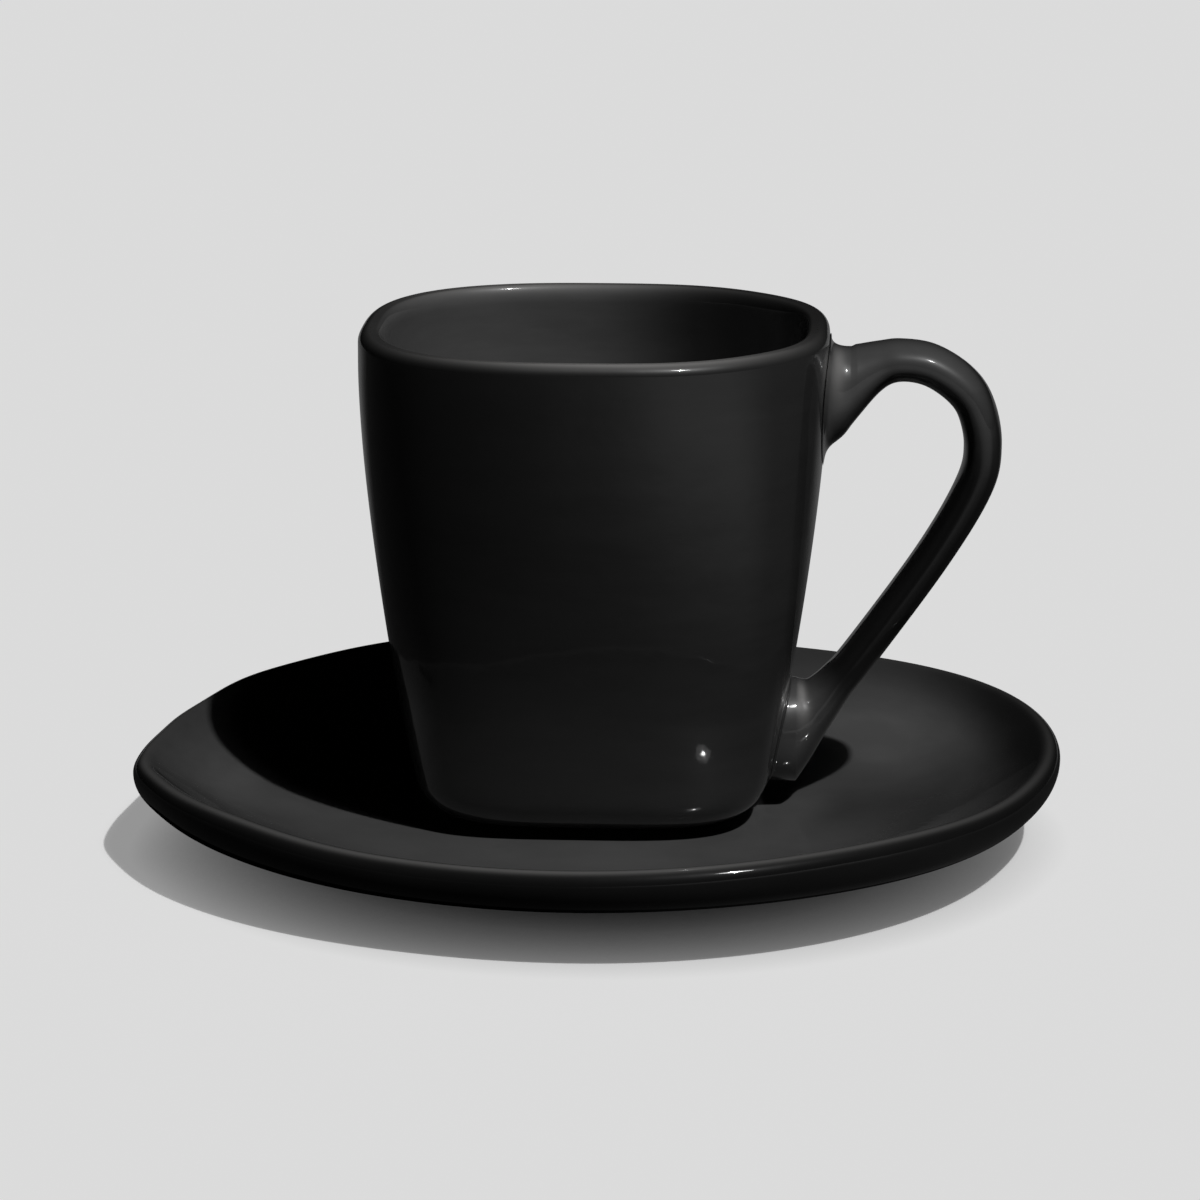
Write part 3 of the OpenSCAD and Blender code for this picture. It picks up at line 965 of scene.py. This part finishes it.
def mirrored_floor(g):
    """Share of the floor's brightness that the glaze shows, by the place on the floor.

    In the photo the ground shows brightest in the glaze towards the front right. It is weaker behind, and
    dark close to the saucer.
    """
    place = g.add("NewGeometry").outputs["Position"]
    heading = g.add("VectorMath", {"operation": "NORMALIZE"}, Vector=place).outputs["Vector"]
    distance = g.add("VectorMath", {"operation": "LENGTH"}, Vector=place).outputs["Value"]
    ahead = g.facing(heading, FRONT)
    bright = g.ease(g.facing(heading, FRONT_RIGHT), low=0.01, high=0.36, start=0.3, end=0.9)
    front = g.ease(ahead, low=0.15, high=1.0, start=0.0, end=0.55)
    rear = g.ease(ahead, low=0.0, high=0.18, start=-0.7, end=-0.97)
    far = g.ease(distance, low=0.1, high=1.0, start=0.11, end=0.34)
    share = g.combine("MAXIMUM", g.combine("MULTIPLY", bright, front), rear)
    return g.combine("MULTIPLY", share, far)


def floor_material():
    """White floor for the camera, graded where the glaze mirrors it, and dark as a source of light; its
    glow has painted contact shade close to the saucer.
    """
    g = Graph("studio_floor")
    rays = g.add("LightPath").outputs
    mirrored = g.combine("MAXIMUM", rays["Is Glossy Ray"], rays["Is Transmission Ray"])
    shown = g.combine("MULTIPLY", mirrored, mirrored_floor(g))
    seen = g.combine("MAXIMUM", rays["Is Camera Ray"], shown)
    # Painted contact shade: the glow darkens close to the saucer
    contact_shade = g.add("AmbientOcclusion", {"samples": 8}, Distance=CONTACT_SHADE_REACH).outputs["AO"]
    strength = g.combine("MULTIPLY", g.combine("MULTIPLY", seen, contact_shade), FLOOR_GLOW)
    matt = g.add("BsdfDiffuse", Color=g.mix(seen, FLOOR_UNSEEN, FLOOR_WHITE))
    glow = g.add("Emission", Color=grey(1.0), Strength=strength)
    both = g.add("AddShader")
    g.put(matt.outputs["BSDF"], both.inputs[0])
    g.put(glow.outputs["Emission"], both.inputs[1])
    return g.finish(both.outputs["Shader"])


def make_floor():
    """Flat floor under the saucer, which is no part of the object."""
    corners = [(-1, -1), (1, -1), (1, 1), (-1, 1)]
    mesh = bpy.data.meshes.new("floor")
    mesh.from_pydata([(x * FLOOR_HALF, y * FLOOR_HALF, 0) for x, y in corners], [], [(0, 1, 2, 3)])
    mesh.materials.append(floor_material())
    floor = bpy.data.objects.new("floor", mesh)
    bpy.context.collection.objects.link(floor)


make_floor()

# Lights: direction to them, then strength and spread in degrees
KEY_DIRECTION = (0.43, -0.5, 1.0)
KEY_STRENGTH = 2.1
KEY_SPREAD = 1.2
SOFTBOX_STRENGTH = 0.26
SOFTBOX_SPREAD = 9.0


def aim(thing, backwards):
    """Turns a lamp or camera to look away from a direction."""
    thing.rotation_mode = "QUATERNION"
    thing.rotation_quaternion = Vector(backwards).to_track_quat("Z", "Y")


def add_sun(name, to_light, strength, spread):
    """Adds a sun that shines from a direction."""
    lamp = bpy.data.lights.new(name, "SUN")
    lamp.energy = strength
    lamp.angle = math.radians(spread)
    sun = bpy.data.objects.new(name, lamp)
    bpy.context.collection.objects.link(sun)
    aim(sun, to_light)


add_sun("key", KEY_DIRECTION, KEY_STRENGTH, KEY_SPREAD)
add_sun("key_softbox", KEY_DIRECTION, SOFTBOX_STRENGTH, SOFTBOX_SPREAD)

world = bpy.data.worlds.new("studio")
world.use_nodes = True
world.node_tree.nodes["Background"].inputs["Color"].default_value = grey(0.0)
bpy.context.scene.world = world

# Camera at the photo's viewing angle: the point that it looks at in millimetres, distance in metres
CAMERA_TARGET = (-CUP_OFFSET, 0, 52)
CAMERA_DISTANCE = 0.84098
CAMERA_TURN = math.radians(3.0)
CAMERA_TILT = math.radians(13.153)
CAMERA_LENS = 144.15
CAMERA_SENSOR = 36
CAMERA_SHIFT = (0.00377, -0.0432)


def make_camera():
    """Adds the camera and makes it the scene's own."""
    level = math.cos(CAMERA_TILT)
    back = Vector(
        (math.sin(CAMERA_TURN) * level, -math.cos(CAMERA_TURN) * level, math.sin(CAMERA_TILT))
    )
    data = bpy.data.cameras.new("camera")
    data.sensor_width = CAMERA_SENSOR
    data.lens = CAMERA_LENS
    data.shift_x, data.shift_y = CAMERA_SHIFT
    camera = bpy.data.objects.new("camera", data)
    bpy.context.collection.objects.link(camera)
    camera.location = Vector(CAMERA_TARGET) * MM + back * CAMERA_DISTANCE
    aim(camera, back)
    bpy.context.scene.camera = camera


make_camera()
bpy.context.scene.view_settings.view_transform = "Standard"
